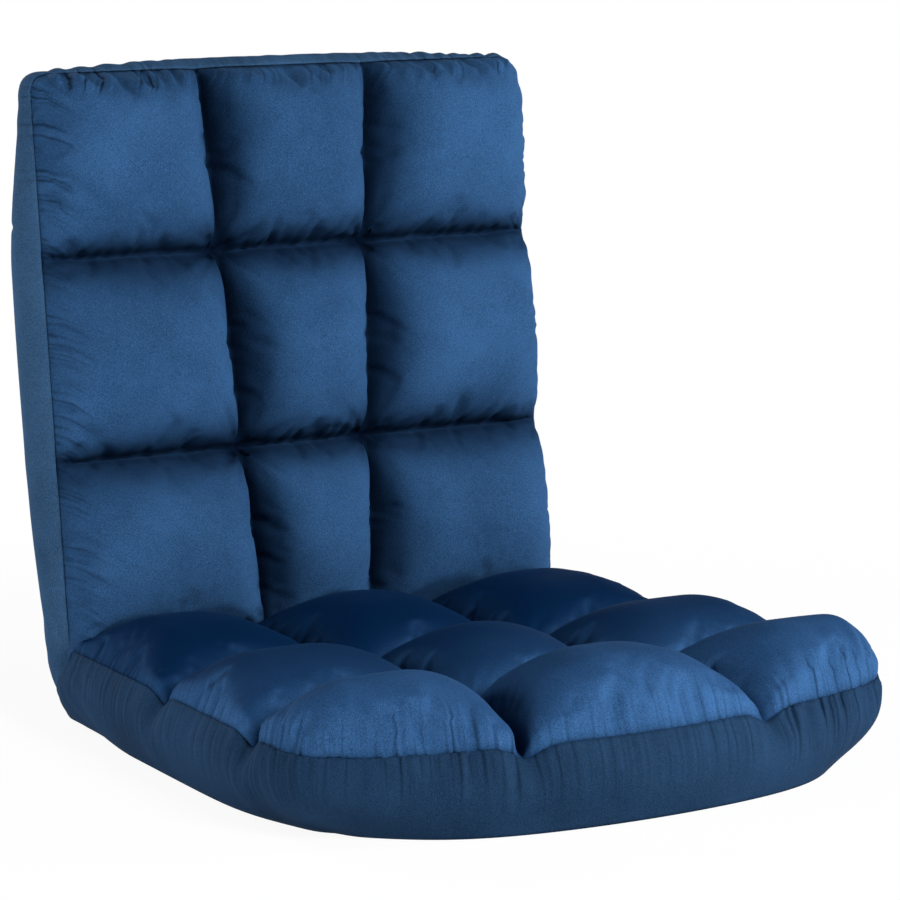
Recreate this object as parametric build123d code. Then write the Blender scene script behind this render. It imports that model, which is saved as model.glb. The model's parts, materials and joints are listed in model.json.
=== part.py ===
from build123d import *
from math import cos, radians, sin, sqrt, tan
import os

os.makedirs("parts", exist_ok=True)

# Sizes of the two pads, measured from the hinge line
seat_reach = 556
seat_corner_reach = 495
seat_rear_width = 500
seat_corner_width = 568
seat_corner_radius = 58
back_height = 538
back_width = 500
back_corner_radius = 55

# Heights above the frame plane of each pad
hinge_height = 30
seat_seam_level = 34
back_seam_level = 30
seat_crown_level = 88
back_crown_level = 84
tuft_base_level = 20.5

# Rows and columns of the sewn tufts
row_start = 30
seat_rear_row = 226
seat_front_row_side = 99
back_lower_row = 197
back_middle_row = 374
seat_column_rear = 94
seat_column_middle = 81
seat_column_front = 117
back_column_low = 54
back_column_high = 86
tuft_corner_radius = 34
tuft_side_radius = 18
tuft_front_radius = 46
tuft_bow_half = 58
tuft_outer_inset = 4
tuft_profile = [(0, 0.95), (0.28, 0.985), (0.6, 0.94), (0.82, 0.8), (0.95, 0.56), (1, 0.3)]

# Recline: thirteen steps of the ratchet lie between upright and flat
upright_angle = 90
steps_to_flat = 13
lock_step = upright_angle / steps_to_flat
rest_steps_from_flat = 12
release_steps = 3
raise_angle = rest_steps_from_flat * lock_step
fold_angle = 180 - raise_angle - release_steps * lock_step
mitre_angle = fold_angle / 2
crease_gap = 0.5

# Cover and foam layers
cloth_thickness = 1.5
boxing_thickness = 1.8
boxing_foot_draw = 4
boxing_shoulder = 3
boxing_bulge = 6
rear_swell = 10
rear_swell_start = 86
layer_gap = 0.3
foam_inset = 3
base_foam_inset = 6.5

# Frame tubes
tube_diameter = 16
tube_wall = 1.2
tube_side_inset = 38
frame_front_inset = 30
frame_top_inset = 48
frame_corner_inset = 12
frame_facet_half = 120
frame_bend_radius = 60
tongue_thickness = 4
tongue_height = 23
neck_length = 40

# Webbing and cross tubes
strap_width = 40
strap_thickness = 1.5
strap_count = 4
strap_fit = 0.05
strap_clearance = 1.5
cross_tube_diameter = 14
cross_tube_run = 8
frame_room = 1.2

# Hinge plates, ratchet and pawl
tooth_tip_radius = 20
tooth_depth = 3
tooth_gap_root = 1
tooth_gap_tip = 2
cheek_thickness = 2.5
cheek_rim = 2
cheek_tail_radius = 13
cheek_run = 40
ratchet_thickness = 3.5
ratchet_arm_width = 24
ratchet_arm_round = 8
pivot_radius = 5
pivot_head_radius = 9
pivot_head_height = 2.5
running_fit = 0.05
pawl_pin_offset = 5
pawl_pin_level = 12.5
pawl_pin_radius = 3
pawl_pin_head_radius = 4.5
pawl_pin_head_height = 1.5
pawl_boss_radius = 5.5
pawl_nose_half = 0.25
pawl_neck_half = 0.5
pawl_nose_fit = 0.4
pawl_heel = 4
pawl_drop = 13
pawl_thickness = 3.4
spring_thickness = 0.6
spring_width = 3
spring_reach_past_pin = 6.6
spring_knee = 16
rivet_radius = 3
rivet_edge = 12
rivet_pitch = 24
rivet_head_radius = 5.5
rivet_head_height = 2
pocket_clearance = 3.25

# Crease wadding and hinge strip
wedge_edge = 0.6
wedge_clearance = 14
wedge_depth = 60
wedge_past_hinge = 24
strip_past_hinge = 28
strip_floor_gap = 0.2
strip_end_angle = 0.4

# Closing zip on the rear cloth
zip_reach = 62
zip_length = 400
zip_tape_width = 24
zip_tape_end = 15
zip_tape_thickness = 1
zip_coil_width = 6
zip_coil_height = 1.4
zip_slot_width = 11
zip_fit = 0.3
slider_length = 11
slider_plate = 1.4
slider_park = 20
bail_radius = 0.8
bail_rise = 2.4
bail_post = 1.2
pull_width = 7
pull_length = 28
pull_thickness = 1.2
pull_eye_wall = 1
pull_hole_radius = 1.8

# Places that follow from these sizes
cheek_radius = tooth_tip_radius + cheek_rim
tooth_root_radius = tooth_tip_radius - tooth_depth
pawl_pin_reach = tooth_tip_radius + pawl_pin_offset
seat_tongue_start = cheek_radius + cheek_run
back_tongue_start = cheek_radius + rivet_edge
seat_rivet_reaches = [seat_tongue_start + rivet_edge, seat_tongue_start + rivet_edge + rivet_pitch]
back_rivet_reaches = [back_tongue_start + rivet_edge, back_tongue_start + rivet_edge + rivet_pitch]
tongue_end = seat_rivet_reaches[1] + rivet_edge
tube_start = tongue_end + neck_length
seat_tube_x = seat_rear_width / 2 - tube_side_inset
back_tube_x = seat_tube_x - (ratchet_thickness + tongue_thickness) / 2
lower_cross_reach = tube_start + cross_tube_run + cross_tube_diameter / 2
strap_start = lower_cross_reach + cross_tube_diameter / 2 + strap_clearance + strap_width / 2
strap_pitch = strap_width + cross_tube_diameter + 2 * strap_clearance
upper_cross_reach = strap_start + 1.5 * strap_pitch
seat_middle_row = seat_corner_reach - seat_front_row_side
pivot_y = seat_reach / 2
seat_place = Pos(0, pivot_y, hinge_height)
back_place = seat_place * Rot(raise_angle, 0, 0)
beyond = seat_reach + back_height


def save(name, shape, place):
    export_step(place * shape, f"parts/{name}.step")


def closed_face(corners, radii):
    return make_face(FilletPolyline(*corners, radius=radii, close=True))


def seat_front(x, grow):
    half = seat_corner_width / 2 + grow
    bow = seat_reach + grow - seat_corner_reach
    radius = (half**2 + bow**2) / (2 * bow)
    return seat_reach + grow - radius + sqrt(radius**2 - x**2)


def seat_face(grow):
    rear = seat_rear_width / 2 + grow
    corner = seat_corner_width / 2 + grow
    left = (-corner, -seat_corner_reach)
    right = (corner, -seat_corner_reach)
    sides = Polyline(left, (-rear, 0), (rear, 0), right)
    face = make_face(sides + ThreePointArc(right, (0, -seat_front(0, grow)), left))
    return fillet(face.vertices().sort_by(Axis.Y)[:2], seat_corner_radius + grow)


def back_face(grow):
    half = back_width / 2 + grow
    top = back_height + grow
    bend = back_corner_radius + grow
    return closed_face([(-half, 0), (-half, top), (half, top), (half, 0)], [0, bend, bend, 0])


def prism(face, low, high):
    return extrude(Pos(0, 0, low) * face, high - low)


def box_between(low, high):
    size = [b - a for a, b in zip(low, high)]
    centre = [(a + b) / 2 for a, b in zip(low, high)]
    return Pos(*centre) * Box(*size)


def across(face, low, high):
    return extrude(Pos(low, 0, 0) * (Plane.YZ * face), high - low, dir=(1, 0, 0))


def plate(face, middle, thickness):
    return across(face, middle - thickness / 2, middle + thickness / 2)


def rod(y, z, radius, low, high):
    return across(Pos(y, z) * Circle(radius), low, high)


def mirrored_x(corners):
    return [(-x, y) for x, y in corners]


# Each pad keeps to its own side of the mitre where the two meet
mitre_top = beyond * tan(radians(mitre_angle))
side_points = [(-crease_gap, -beyond), (-crease_gap, 0), (-crease_gap - beyond, mitre_top)]
side_points += [(-crease_gap - beyond, -beyond)]
seat_side = across(make_face(Polyline(*side_points, close=True)), -beyond, beyond)
back_side = mirror(seat_side, about=Plane.XZ)


# Hinge pockets left free in the foam
def hinge_pockets(sign):
    half = ratchet_thickness / 2 + tongue_thickness + rivet_head_height + pocket_clearance
    ends = sorted((sign * (tube_start - neck_length / 4), -sign * beyond))
    pockets = []
    for side in (-1, 1):
        x = side * seat_tube_x
        pockets.append(box_between((x - half, ends[0], -beyond), (x + half, ends[1], beyond)))
    return pockets


# What lies in front of the swelling rear of the back
def rear_room(offset):
    level = offset - hinge_height
    low_end = (rear_swell_start, level)
    top_end = (back_height, level)
    middle = ((rear_swell_start + back_height) / 2, level - rear_swell)
    edge = Polyline(low_end, (-beyond, level), (-beyond, beyond), (beyond, beyond), (beyond, level), top_end)
    return across(make_face(edge + ThreePointArc(top_end, middle, low_end)), -beyond, beyond)


# Side band of the cover, a thin bulging wall
def boxing(face, seam_level, drop, side):
    low = -hinge_height + cloth_thickness
    profile = [(0, -boxing_foot_draw), (0.25, boxing_shoulder), (0.5, boxing_bulge)]
    profile += [(0.78, boxing_shoulder), (1, 0)]
    levels = [(low + rise * (seam_level - low), bulge) for rise, bulge in profile]
    skins = [loft([Pos(0, 0, level) * face(bulge) for level, bulge in levels])]
    skins += [loft([Pos(0, 0, level) * face(bulge - boxing_thickness) for level, bulge in levels])]
    inner_foot = face(-boxing_foot_draw - boxing_thickness)
    foot = prism(inner_foot, low - cloth_thickness, low)
    rim = prism(face(-boxing_thickness), seam_level, seam_level + cloth_thickness)
    band = skins[0] - skins[1] - foot - rim
    if drop:
        band = band + prism(face(-boxing_foot_draw) - inner_foot, low - drop, low)
    return band & side


# A sewn tuft: steep walls beside the channel and a rounded crown
def tuft(corners, radii, crown_level):
    middle_x = sum(x for x, y in corners) / len(corners)
    middle_y = sum(y for x, y in corners) / len(corners)
    rings = []
    for rise, size in tuft_profile:
        points = [(middle_x + size * (x - middle_x), middle_y + size * (y - middle_y)) for x, y in corners]
        level = tuft_base_level + rise * (crown_level - tuft_base_level)
        rings.append(Pos(0, 0, level) * closed_face(points, [size * r for r in radii]))
    return loft(rings)


def seat_side_x(reach):
    flare = (seat_corner_width - seat_rear_width) / 2 / seat_corner_reach
    return seat_rear_width / 2 + flare * reach - tuft_outer_inset


def seat_column_x(reach):
    return seat_column_rear + (seat_column_middle - seat_column_rear) * reach / seat_middle_row


def back_column_x(reach):
    return back_column_low + (back_column_high - back_column_low) * reach / back_height


def save_row(name, cells, side_radii, crown_level, side, place):
    side_cell, centre_cell = cells
    centre_radii = [tuft_corner_radius] * len(centre_cell)
    save(f"{name}_right", tuft(side_cell, side_radii, crown_level) & side, place)
    save(f"{name}_left", tuft(mirrored_x(side_cell), side_radii, crown_level) & side, place)
    save(f"{name}_centre", tuft(centre_cell, centre_radii, crown_level) & side, place)


def save_seat_row(row, cells, side_radii):
    save_row(f"seat_tuft_{row}", cells, side_radii, seat_crown_level, seat_side, seat_place)


def save_back_row(row, cells, side_radii):
    save_row(f"back_tuft_{row}", cells, side_radii, back_crown_level, back_side, back_place)


# Seat tufts, row by row from the crease
soft_corner = tuft_corner_radius
seat_rows = [("rear", row_start, seat_rear_row), ("middle", seat_rear_row, seat_middle_row)]
for row, near, far in seat_rows:
    inner = [(seat_column_x(far), -far), (seat_column_x(near), -near)]
    side_cell = [(seat_side_x(near), -near), (seat_side_x(far), -far)] + inner
    centre_cell = inner[::-1] + mirrored_x(inner)
    save_seat_row(row, (side_cell, centre_cell), [soft_corner] * 4)
near = seat_middle_row
column_end = (seat_column_front, -seat_front(seat_column_front, -tuft_outer_inset))
bow_end = (tuft_bow_half, -seat_front(tuft_bow_half, -tuft_outer_inset))
side_cell = [(seat_side_x(near), -near), (seat_corner_width / 2 - tuft_outer_inset, -seat_corner_reach)]
side_cell += [column_end, (seat_column_x(near), -near)]
centre_cell = [side_cell[3], column_end, bow_end]
centre_cell += mirrored_x(reversed(centre_cell))
side_radii = [tuft_side_radius, tuft_front_radius, soft_corner, soft_corner]
save_seat_row("front", (side_cell, centre_cell), side_radii)

# Back tufts, row by row from the crease
side_x = back_width / 2 - tuft_outer_inset
back_rows = [("lower", row_start, back_lower_row), ("middle", back_lower_row, back_middle_row)]
back_rows += [("upper", back_middle_row, back_height - tuft_outer_inset)]
for row, near, far in back_rows:
    inner = [(back_column_x(far), far), (back_column_x(near), near)]
    side_cell = [(side_x, near), (side_x, far)] + inner
    centre_cell = inner[::-1] + mirrored_x(inner)
    outer_corner = back_corner_radius if row == "upper" else soft_corner
    side_radii = [soft_corner, outer_corner, soft_corner, soft_corner]
    save_back_row(row, (side_cell, centre_cell), side_radii)

# Cover bands and the flat cloths under the seat and behind the back
save("seat_boxing", boxing(seat_face, seat_seam_level, 0, seat_side), seat_place)
back_band = boxing(back_face, back_seam_level, rear_swell, back_side) & rear_room(cloth_thickness)
save("back_boxing", back_band, back_place)
cloth_low = -hinge_height
cloth_high = cloth_low + cloth_thickness
save("seat_base_cloth", prism(seat_face(-boxing_foot_draw), cloth_low, cloth_high) & seat_side, seat_place)
zip_slot = Pos(0, zip_reach) * Rectangle(zip_length + 2 * slider_length, zip_slot_width)
rear_cloth = prism(back_face(-boxing_foot_draw) - zip_slot, cloth_low - 2 * rear_swell, 0) & back_side
save("back_rear_cloth", (rear_cloth & rear_room(0)) - rear_room(cloth_thickness), back_place)

# Corners of the frame tubes, with the room that they take in the foam
frame_corner_reach = seat_corner_reach - frame_corner_inset
frame_reach = seat_front(frame_facet_half, 0) - frame_front_inset
back_frame_reach = back_height - frame_top_inset
seat_path = [(-seat_tube_x, -tube_start), (-seat_tube_x, -frame_corner_reach)]
seat_path += [(-frame_facet_half, -frame_reach)]
seat_path += mirrored_x(reversed(seat_path))
back_path = [(-back_tube_x, tube_start), (-back_tube_x, back_frame_reach)]
back_path += mirrored_x(reversed(back_path))
room = tube_diameter / 2 + strap_thickness + frame_room
bend = frame_bend_radius + room
seat_room = [(-seat_tube_x - room, 0), (-seat_tube_x - room, -frame_corner_reach - room / 3)]
seat_room += [(-frame_facet_half - room / 3, -frame_reach - room)]
seat_room += mirrored_x(reversed(seat_room))
seat_room_face = closed_face(seat_room, [0, bend, bend, bend, bend, 0])
back_room = [(-seat_tube_x - room, 0), (-seat_tube_x - room, back_frame_reach + room)]
back_room += mirrored_x(reversed(back_room))
back_room_face = closed_face(back_room, [0, bend, bend, 0])

# Foam layers below, round and above each frame
frame_layer = tube_diameter / 2 + strap_thickness + layer_gap
foam_low = cloth_high + zip_tape_thickness + layer_gap
seat_low_foam = prism(seat_face(-base_foam_inset), foam_low, -frame_layer)
back_low_foam = prism(back_face(-base_foam_inset), foam_low - 2 * rear_swell, -frame_layer)
back_low_foam = back_low_foam & rear_room(foam_low - cloth_low)
for name, below, low_foam, above, face, opening, side, sign, place in [
    ("seat", "base", seat_low_foam, "top", seat_face, seat_room_face, seat_side, -1, seat_place),
    ("back", "rear", back_low_foam, "front", back_face, back_room_face, back_side, 1, back_place),
]:
    pockets = hinge_pockets(sign)
    save(f"{name}_{below}_foam", (low_foam - pockets) & side, place)
    edge_foam = prism(face(-foam_inset) - opening, layer_gap - frame_layer, frame_layer - layer_gap)
    save(f"{name}_edge_foam", edge_foam & side, place)
    high_foam = prism(face(-foam_inset), frame_layer, tuft_base_level - layer_gap)
    save(f"{name}_{above}_foam", (high_foam - pockets) & side, place)


# Frame tubes bent to a U, with flattened ends at the hinges
def frame_tube(corners, x, sign, tongue_start, hole_reaches):
    path = FilletPolyline(*corners, radius=frame_bend_radius)
    ring = Circle(tube_diameter / 2) - Circle(tube_diameter / 2 - tube_wall)
    tube = sweep(Plane(origin=path @ 0, z_dir=path % 0) * ring, path=path)
    for side in (-1, 1):
        flat_end = Plane(origin=(side * x, sign * tongue_end, 0), x_dir=(1, 0, 0), z_dir=(0, sign, 0))
        round_end = Plane(origin=(side * x, sign * tube_start, 0), x_dir=(1, 0, 0), z_dir=(0, sign, 0))
        flat = flat_end * RectangleRounded(tongue_thickness, tongue_height, tongue_thickness * 0.45)
        neck = loft([flat, round_end * Circle(tube_diameter / 2)])
        tube = tube + neck + extrude(flat, tongue_end - tongue_start, dir=(0, -sign, 0))
        ends = (side * x - tongue_height, side * x + tongue_height)
        for reach in hole_reaches:
            tube = tube - rod(sign * reach, 0, rivet_radius, *ends)
    return tube


seat_tube = frame_tube(seat_path, seat_tube_x, -1, seat_tongue_start, seat_rivet_reaches)
back_tube = frame_tube(back_path, back_tube_x, 1, back_tongue_start, back_rivet_reaches)
save("seat_frame_tube", seat_tube, seat_place)
save("back_frame_tube", back_tube, back_place)


# Cross tubes saddle onto the side tubes
def cross_tube(reach, x, sign):
    y = sign * reach
    tube = rod(y, 0, cross_tube_diameter / 2, -x, x) - rod(y, 0, cross_tube_diameter / 2 - tube_wall, -x, x)
    for side in (-1, 1):
        tube = tube - Pos(side * x, y, 0) * Rot(90, 0, 0) * Cylinder(tube_diameter / 2, 4 * tube_diameter)
    return tube.solids().sort_by(SortBy.VOLUME)[-1]


# Webbing loops run round both side tubes
def webbing(x, sign):
    inner = SlotCenterToCenter(2 * x, tube_diameter + 2 * strap_fit)
    outer = SlotCenterToCenter(2 * x, tube_diameter + 2 * strap_fit + 2 * strap_thickness)
    loops = []
    for number in range(strap_count):
        y = sign * (strap_start + number * strap_pitch)
        middle = Plane(origin=(0, y, 0), x_dir=(1, 0, 0), z_dir=(0, 1, 0))
        loops.append(extrude(middle * (outer - inner), strap_width / 2, both=True))
    return Compound(loops)


save("seat_webbing", webbing(seat_tube_x, -1), seat_place)
save("back_webbing", webbing(back_tube_x, 1), back_place)
save("seat_rear_cross_tube", cross_tube(lower_cross_reach, seat_tube_x, -1), seat_place)
save("seat_middle_cross_tube", cross_tube(upper_cross_reach, seat_tube_x, -1), seat_place)
save("back_lower_cross_tube", cross_tube(lower_cross_reach, back_tube_x, 1), back_place)
save("back_upper_cross_tube", cross_tube(upper_cross_reach, back_tube_x, 1), back_place)


# Rivet with a head at each end, along X
def rivet(y, z, radius, ends, head_radius, head_height):
    low, high = ends
    heads = rod(y, z, head_radius, low - head_height, low) + rod(y, z, head_radius, high, high + head_height)
    return rod(y, z, radius, low, high) + heads


# Hinge cheeks hold the pivot, the pawl pin and the end of the seat tube
tail = Pos(-seat_rivet_reaches[1], 0) * Circle(cheek_tail_radius)
cheek_face = make_hull((Circle(cheek_radius) + tail).edges()) - Circle(pivot_radius)
cheek_face = cheek_face - Pos(-pawl_pin_reach, pawl_pin_level) * Circle(pawl_pin_radius)
for reach in seat_rivet_reaches:
    cheek_face = cheek_face - Pos(-reach, 0) * Circle(rivet_radius)

# Ratchet plate: a toothed disc with an arm along the back tube; the gaps lean along the path of the pawl
tooth_lean = (pawl_pin_reach - tooth_root_radius) / pawl_pin_level
half_root = tooth_gap_root / 2
half_tip = tooth_gap_tip / 2
mouth = tooth_tip_radius + layer_gap
mouth_level = -tooth_lean * (mouth - tooth_root_radius)
gap = [(-tooth_root_radius, -half_root), (-tooth_root_radius, half_root)]
gap += [(-mouth, mouth_level + half_tip), (-mouth, mouth_level - half_tip)]
gap_face = make_face(Polyline(*gap, close=True))
steps = range(-release_steps, rest_steps_from_flat + 1)
tooth_gaps = [Rot(0, 0, step * lock_step - raise_angle) * gap_face for step in steps]
arm_reach = back_rivet_reaches[1] + rivet_edge
arm = Pos(arm_reach / 2, 0) * RectangleRounded(arm_reach, ratchet_arm_width, ratchet_arm_round)
ratchet_face = Circle(tooth_tip_radius) - tooth_gaps + arm - Circle(pivot_radius + running_fit)
for reach in back_rivet_reaches:
    ratchet_face = ratchet_face - Pos(reach, 0) * Circle(rivet_radius)

# Pawl drawn in the tooth gap, then swung out clear of the tooth tips
pin = Pos(-pawl_pin_reach, pawl_pin_level)
nose = -tooth_root_radius - pawl_nose_fit
neck = -tooth_tip_radius - 2 * pawl_nose_fit
nose_level = tooth_lean * (nose + tooth_root_radius)
neck_level = tooth_lean * (neck + tooth_root_radius)
heel = -pawl_pin_reach - pawl_heel
pawl_points = [(nose, nose_level - pawl_nose_half), (nose, nose_level + pawl_nose_half)]
pawl_points += [(neck, neck_level + pawl_neck_half), (neck, pawl_pin_level - pawl_heel)]
pawl_points += [(heel, pawl_pin_level), (heel, 0), (neck, neck_level - pawl_neck_half)]
pawl_face = make_face(Polyline(*pawl_points, close=True)) + pin * Circle(pawl_boss_radius)
pawl_face = pawl_face - pin * Circle(pawl_pin_radius + running_fit)
pawl_face = pin * Rot(0, 0, -pawl_drop) * pin.inverse() * pawl_face

# Leaf spring between the end of the seat tube and the pawl
root = spring_thickness / 2 - seat_tongue_start
spring_end = -pawl_pin_reach - spring_reach_past_pin
spring_top = tongue_height / 2 - spring_width
spring_points = [(root, -spring_top), (root, spring_top)]
spring_points += [(root + spring_knee, spring_top), (spring_end, pawl_heel)]
spring_face = trace(Polyline(*spring_points), spring_thickness)

seat_rivets = []
back_rivets = []
for name, side in (("left", -1), ("right", 1)):
    middle = side * seat_tube_x
    half_gap = tongue_thickness / 2
    outer = half_gap + cheek_thickness
    ends = (middle - outer, middle + outer)
    for place, lean in (("outer", side), ("inner", -side)):
        faces = sorted((middle + lean * half_gap, middle + lean * outer))
        save(f"{name}_hinge_{place}_cheek", across(cheek_face, *faces), seat_place)
    pivot = rivet(0, 0, pivot_radius, ends, pivot_head_radius, pivot_head_height)
    save(f"{name}_pivot_rivet", pivot, seat_place)
    pin_heads = (pawl_pin_head_radius, pawl_pin_head_height)
    pawl_pin = rivet(-pawl_pin_reach, pawl_pin_level, pawl_pin_radius, ends, *pin_heads)
    save(f"{name}_pawl_pin", pawl_pin, seat_place)
    save(f"{name}_pawl", plate(pawl_face, middle, pawl_thickness), seat_place)
    save(f"{name}_pawl_spring", plate(spring_face, middle, spring_width), seat_place)
    save(f"{name}_ratchet_plate", plate(ratchet_face, middle, ratchet_thickness), back_place)
    back_ends = sorted((middle + side * ratchet_thickness / 2, side * (back_tube_x - tongue_thickness / 2)))
    for reach in seat_rivet_reaches:
        seat_rivets.append(rivet(-reach, 0, rivet_radius, ends, rivet_head_radius, rivet_head_height))
    for reach in back_rivet_reaches:
        back_rivets.append(rivet(reach, 0, rivet_radius, back_ends, rivet_head_radius, rivet_head_height))
save("seat_frame_rivets", Compound(seat_rivets), seat_place)
save("back_frame_rivets", Compound(back_rivets), back_place)

# Crease wadding fills the wedge between the two mitres at the rest angle
wedge_near = cheek_radius + wedge_clearance
wedge_far = wedge_near + wedge_depth
angle_seat = radians(180 - mitre_angle - wedge_edge)
angle_back = radians(raise_angle + mitre_angle + wedge_edge)
wedge = [(r * cos(angle_seat), r * sin(angle_seat)) for r in (wedge_near, wedge_far)]
wedge += [(r * cos(angle_back), r * sin(angle_back)) for r in (wedge_far, wedge_near)]
half = seat_tube_x + wedge_past_hinge
save("crease_wadding", across(make_face(Polyline(*wedge, close=True)), -half, half), seat_place)

# Hinge strip of cloth bends round the outside of the hinge line
strip_radius = hinge_height - strip_floor_gap - cloth_thickness / 2
strip_turn = raise_angle - 2 * strip_end_angle
strip_line = CenterArc((0, 0), strip_radius, strip_end_angle - 90, strip_turn)
half = seat_tube_x + strip_past_hinge
save("hinge_strip_cloth", across(trace(strip_line, cloth_thickness), -half, half), seat_place)

# Zip tape with a coil ridge
zip_middle = Pos(0, zip_reach)
coil_low = cloth_high - zip_coil_height
tape_face = zip_middle * Rectangle(zip_length + 2 * zip_tape_end, zip_tape_width)
tape = prism(tape_face, cloth_high, cloth_high + zip_tape_thickness)
coil = prism(zip_middle * Rectangle(zip_length, zip_coil_width), coil_low, cloth_high)
save("zip_tape", tape + coil, back_place)

# Slider with flanges beside the coil and a bail for the pull
plate_high = coil_low - zip_fit
plate_low = plate_high - slider_plate
flange_inner = zip_coil_width / 2 + zip_fit
flange_outer = zip_slot_width / 2 - zip_fit
half = slider_length / 2
bail_level = plate_low - bail_rise
slider = box_between((-half, -flange_outer, plate_low), (half, flange_outer, plate_high))
slider = slider + rod(0, bail_level, bail_radius, -half, half)
for side in (-1, 1):
    edges = sorted((side * flange_inner, side * flange_outer))
    slider = slider + box_between((-half, edges[0], plate_high), (half, edges[1], cloth_high - zip_fit))
    post = Box(bail_post, 2 * bail_radius, bail_rise)
    slider = slider + Pos(side * (half - bail_post / 2), 0, plate_low - bail_rise / 2) * post
slider_place = Pos(zip_length / 2 - slider_park, zip_reach, 0)
save("zip_slider", slider_place * slider, back_place)

# Pull that hangs straight down from the bail
eye_radius = bail_radius + running_fit
half = pull_width / 2
eye = rod(0, bail_level, eye_radius + pull_eye_wall, -half, half)
thick = pull_thickness / 2
tab = box_between((-half, -pull_length, bail_level - thick), (half, 0, bail_level + thick))
grip = Pos(0, half - pull_length, bail_level) * Cylinder(pull_hole_radius, 2 * pull_width)
pull = eye + tab - rod(0, bail_level, eye_radius, -half, half) - grip
bail = Pos(0, 0, bail_level)
hang = bail * Rot(upright_angle - raise_angle, 0, 0) * bail.inverse()
save("zip_pull", slider_place * hang * pull, back_place)
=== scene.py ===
import json
import math

import bpy
import numpy as np
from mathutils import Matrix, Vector


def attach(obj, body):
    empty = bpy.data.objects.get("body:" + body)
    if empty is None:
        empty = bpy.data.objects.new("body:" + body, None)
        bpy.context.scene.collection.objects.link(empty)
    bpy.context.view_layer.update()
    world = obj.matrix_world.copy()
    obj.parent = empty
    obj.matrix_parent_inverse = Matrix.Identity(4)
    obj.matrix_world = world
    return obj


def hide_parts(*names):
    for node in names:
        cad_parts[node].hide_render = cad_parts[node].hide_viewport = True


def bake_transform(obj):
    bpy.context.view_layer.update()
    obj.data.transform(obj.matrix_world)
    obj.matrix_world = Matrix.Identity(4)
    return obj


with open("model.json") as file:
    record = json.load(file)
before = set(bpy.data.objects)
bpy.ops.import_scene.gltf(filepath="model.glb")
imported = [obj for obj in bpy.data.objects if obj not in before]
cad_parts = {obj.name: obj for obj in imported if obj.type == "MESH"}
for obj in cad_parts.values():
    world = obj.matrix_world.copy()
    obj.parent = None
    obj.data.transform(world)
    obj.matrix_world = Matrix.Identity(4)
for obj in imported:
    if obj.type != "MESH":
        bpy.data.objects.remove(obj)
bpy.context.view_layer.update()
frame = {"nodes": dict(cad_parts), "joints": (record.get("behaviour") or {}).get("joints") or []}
nodes = frame["nodes"]
recline = next(j for j in frame["joints"] if j["name"] == "back_recline")
pivot = np.array(recline["pos_m"])
raiseAngle = math.radians(recline["range_deg"][1])  # how far the back stands up from lying flat
creaseAngle = (math.pi - raiseAngle) / 2  # seat and back meet on the plane between them
print("frame loaded, back raised", round(math.degrees(raiseAngle), 2))

camera = {
    "location": (-1.7646, -2.7379, 0.7796),
    "azimuth": -32.537,
    "elevation": 9.106,
    "lens": 156.283,
    "sensor": 36,
}

# both pads are laid out flat: x across, r away from the hinge line, n above the frame plane
# seen from the front, the first column is the right one on the seat and the left one on the back
seatPad = {
    "reach": 0.556,
    "cornerReach": 0.495,
    "rearHalf": 0.250,
    "cornerHalf": 0.290,
    "cornerRound": 0.052,
    "rows": (0.226, 0.396),
    "columns": (0.094, 0.081, 0.117),  # at the crease, the last row and the far seam
    "crowns": (0.079, 0.087, 0.100),
    "seam": 0.040,
    "valley": 0.018,
    "base": -0.0298,
    "swellStart": 0.086,
    "rearSwell": 0,
    "topTaper": 0,
    "seamDip": 0.011,
    "seamPull": 0.006,
    "cells": ((34, 34, 34), (40, 34, 32)),
    "valleyRound": 0.085,
    "sideRound": 0.085,
    "steep": 2.0,  # how upright the sides of two tufts stand against each other
    "seamRound": 0.056,
    "footSide": -0.006,
    "footFront": 0.003,
    "footCorner": -0.044,
    "footHinge": -0.020,
    "gathers": ((0.35, 0.0, 0.35), (0.35, 0.0, 0.35), (0.6, 0.35, 1.0)),
    "lowerPuckers": ((0, 0, 0), (0.0008, 0.0008, 0.0008), (0.0012, 0.0008, 0.0012)),
    "gatherLength": 0.040,
    "gatherDepth": 0.0040,
    "gatherLean": 0,
    "bandDepth": 0.0040,
    "bandGather": 1.0,
    # how strongly painted shade darkens the level tops and the part by the crease
    "napDepth": 1.0,
    # reach and depth of the painted shade at the near, far, left and right sewn lines and where they cross
    "crushed": ((0.012, 0.8), (0.012, 0.8), (0.010, 0.7), (0.010, 0.7), (0.022, 0.95)),
    "overhang": 0.009,  # how far a tuft may stand out over its seam
    "puckerDepth": 0.0002,
    "starDepth": 0.0034,
    "crossSeam": None,
    "seed": 4,
}
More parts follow.
